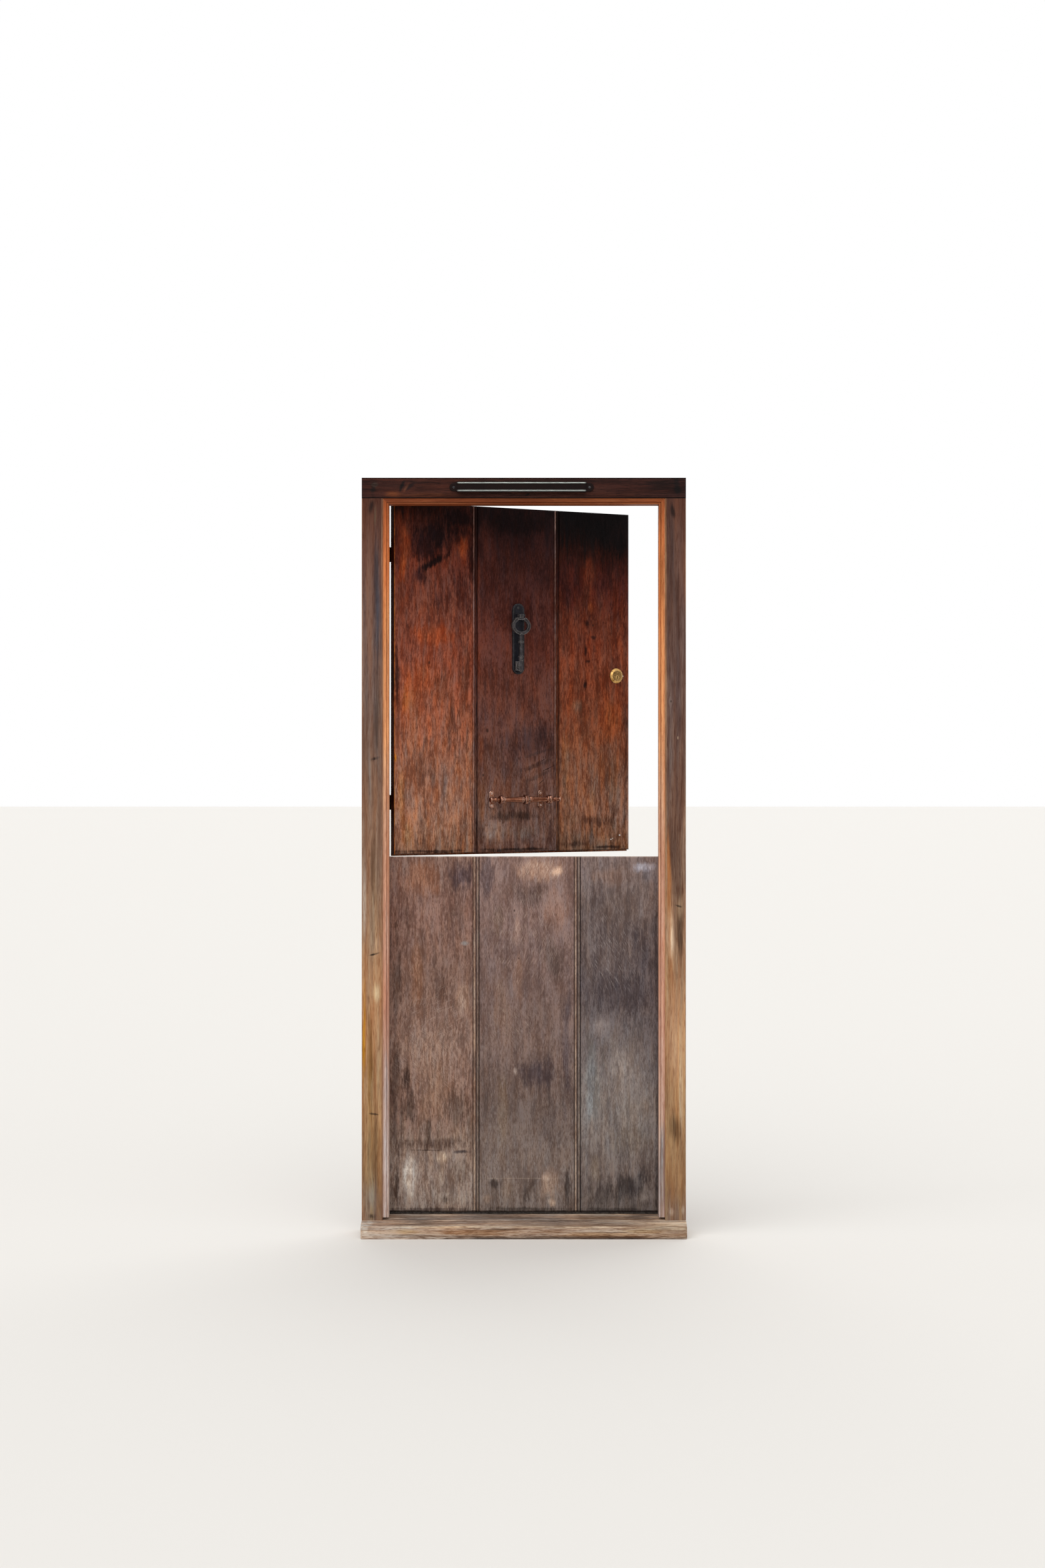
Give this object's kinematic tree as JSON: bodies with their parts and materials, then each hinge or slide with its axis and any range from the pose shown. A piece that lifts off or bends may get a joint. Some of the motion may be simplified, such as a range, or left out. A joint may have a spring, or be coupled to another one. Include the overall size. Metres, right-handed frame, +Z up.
{
  "type": "dutch stable door",
  "caption": "Two-leaf boarded stable door in its timber frame: the lower leaf shut, the upper leaf ajar, with strap hinges, rim latch, bolts, pull handle, knocker and vent.",
  "frame": {"origin": "on the flat underside of the sill, at mid width of the frame and mid depth of the jambs", "axes": "+X to the right seen from outside, +Y inward from the street to the room, +Z up"},
  "size_m": [0.89, 0.5587, 2.08],
  "materials": {
    "head_timber": "stained, satin",
    "jamb_timber": "stained, weathered",
    "stop_timber": "stained, weathered",
    "sill_timber": "bare, weathered grey",
    "upper_timber": "stained, satin",
    "lower_timber": "stained, weathered",
    "inner_timber": "stained, satin",
    "seal_rubber": "matt",
    "galvanised": "galvanised",
    "black_iron": "black, satin",
    "bright_steel": "plated",
    "black_plastic": "gloss",
    "white_plastic": "gloss",
    "brass": "worn, satin",
    "bronze": "lacquered, satin",
    "case_enamel": "baked enamel"
  },
  "bodies": {
    "frame": {"sill": "sill_timber", "jamb_left": "jamb_timber", "jamb_right": "jamb_timber", "head": "head_timber", "stop_bead_left": "stop_timber", "stop_bead_right": "stop_timber", "stop_bead_head": "stop_timber", "weather_seal": "seal_rubber", "water_bar": "galvanised", "upper_hinge_plate_top": "black_iron", "upper_hinge_plate_low": "black_iron", "lower_hinge_plate_top": "black_iron", "lower_hinge_plate_low": "black_iron", "hinge_pins": "bright_steel", "vent_hood": "black_plastic", "vent_grille": "white_plastic", "latch_keep": "case_enamel", "side_bolt_keep": "black_iron", "frame_screws": "black_iron"},
    "shutter": {"vent_shutter": "white_plastic"},
    "lower_leaf": {"lower_board_left": "lower_timber", "lower_board_middle": "lower_timber", "lower_board_right": "lower_timber", "lower_ledge_top": "inner_timber", "lower_ledge_low": "inner_timber", "lower_brace": "inner_timber", "lower_strap_top": "black_iron", "lower_strap_low": "black_iron", "side_bolt_body": "black_iron", "meeting_bolt_keep": "black_iron", "lower_screws": "black_iron"},
    "side_bolt": {"side_bolt": "bright_steel"},
    "upper_leaf": {"upper_board_left": "upper_timber", "upper_board_middle": "upper_timber", "upper_board_right": "upper_timber", "upper_ledge_top": "inner_timber", "upper_ledge_low": "inner_timber", "upper_ledge_lock": "inner_timber", "upper_brace_low": "inner_timber", "upper_brace_top": "inner_timber", "upper_strap_top": "black_iron", "upper_strap_low": "black_iron", "handle_post_left": "bronze", "handle_post_right": "bronze", "handle_bar": "bronze", "knocker_plate": "black_iron", "knocker_pin": "black_iron", "cylinder_rose": "brass", "cylinder_body": "brass", "latch_case": "case_enamel", "meeting_bolt_body": "black_iron", "upper_screws": "black_iron", "front_screws": "bronze"},
    "knocker_key": {"knocker_key": "black_iron"},
    "cylinder_plug": {"cylinder_plug": "brass"},
    "latch_bolt": {"latch_bolt": "brass"},
    "latch_knob": {"latch_knob": "brass"},
    "latch_snib": {"latch_snib": "brass"},
    "meeting_bolt": {"meeting_bolt": "bright_steel"}
  },
  "joints": [
    {"name": "upper_leaf_hinge", "type": "hinge", "parent": "frame", "child": "upper_leaf", "pos_m": [-0.386, 0.05405, 1.532], "axis": [0, 0, 1], "range_deg": [-30, 80]},
    {"name": "lower_leaf_hinge", "type": "hinge", "parent": "frame", "child": "lower_leaf", "pos_m": [-0.386, 0.05405, 0.548], "axis": [0, 0, 1], "range_deg": [0, 110]},
    {"name": "knocker_swing", "type": "hinge", "parent": "upper_leaf", "child": "knocker_key", "pos_m": [-0.00802, 0.19197, 1.7147], "axis": [-0.866, -0.5, 0], "range_deg": [0, 75]},
    {"name": "key_turn", "type": "hinge", "parent": "upper_leaf", "child": "cylinder_plug", "pos_m": [0.26801, 0.37327, 1.5447], "axis": [0.5, -0.866, 0], "range_deg": [0, 90]},
    {"name": "latch_knob_turn", "type": "hinge", "parent": "upper_leaf", "child": "latch_knob", "pos_m": [0.23301, 0.43389, 1.5447], "axis": [-0.5, 0.866, 0], "range_deg": [0, 60], "stiffness_Nm_per_rad": 0.035, "springref_deg": -37.53},
    {"name": "latch_bolt_slide", "type": "slide", "parent": "upper_leaf", "child": "latch_bolt", "axis": [-0.866, -0.5, 0], "range_m": [0, 0.016]},
    {"name": "snib_slide", "type": "slide", "parent": "upper_leaf", "child": "latch_snib", "axis": [0, 0, 1], "range_m": [0, 0.008]},
    {"name": "meeting_bolt_slide", "type": "slide", "parent": "upper_leaf", "child": "meeting_bolt", "axis": [0, 0, -1], "range_m": [0, 0.018]},
    {"name": "side_bolt_slide", "type": "slide", "parent": "lower_leaf", "child": "side_bolt", "axis": [1, 0, 0], "range_m": [0, 0.027]},
    {"name": "vent_shutter_slide", "type": "slide", "parent": "frame", "child": "shutter", "axis": [1, 0, 0], "range_m": [0, 0.0165]}
  ],
  "couplings": [
    {"joint": "latch_bolt_slide", "follows": "latch_knob_turn", "m_per_rad": 0.01527}
  ]
}
